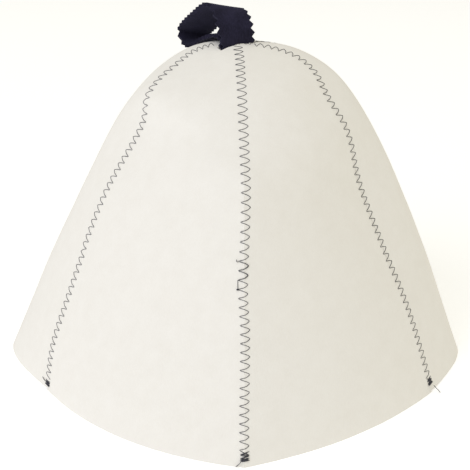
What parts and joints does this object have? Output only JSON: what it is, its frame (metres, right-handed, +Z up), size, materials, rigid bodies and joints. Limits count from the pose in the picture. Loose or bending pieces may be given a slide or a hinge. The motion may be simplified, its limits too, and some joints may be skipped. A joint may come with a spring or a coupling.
{
  "type": "sauna hat",
  "caption": "Bell-shaped sauna hat of white wool felt gores butted edge to edge, open underneath for the head, with a pinked navy felt hanging loop at the crown.",
  "frame": {"origin": "on the surface the hat stands on, under the middle of the rim's outline", "axes": "+Z up from the rim to the crown, -Y towards the hat's front seam, +X towards the hat's right side as seen from the front"},
  "size_m": [0.2643, 0.2522, 0.1978],
  "materials": {
    "white_felt": "dense pressed wool felt, warm white, matte, with a faint fuzz and cut edges",
    "navy_felt": "thin pressed felt, very dark navy, matte, with pinked edges"
  },
  "bodies": {
    "root": {"gore_front_left": "white_felt", "gore_front_right": "white_felt", "gore_right": "white_felt", "gore_back_right": "white_felt", "gore_back_left": "white_felt", "gore_left": "white_felt", "hanging_loop": "navy_felt"}
  },
  "joints": []
}
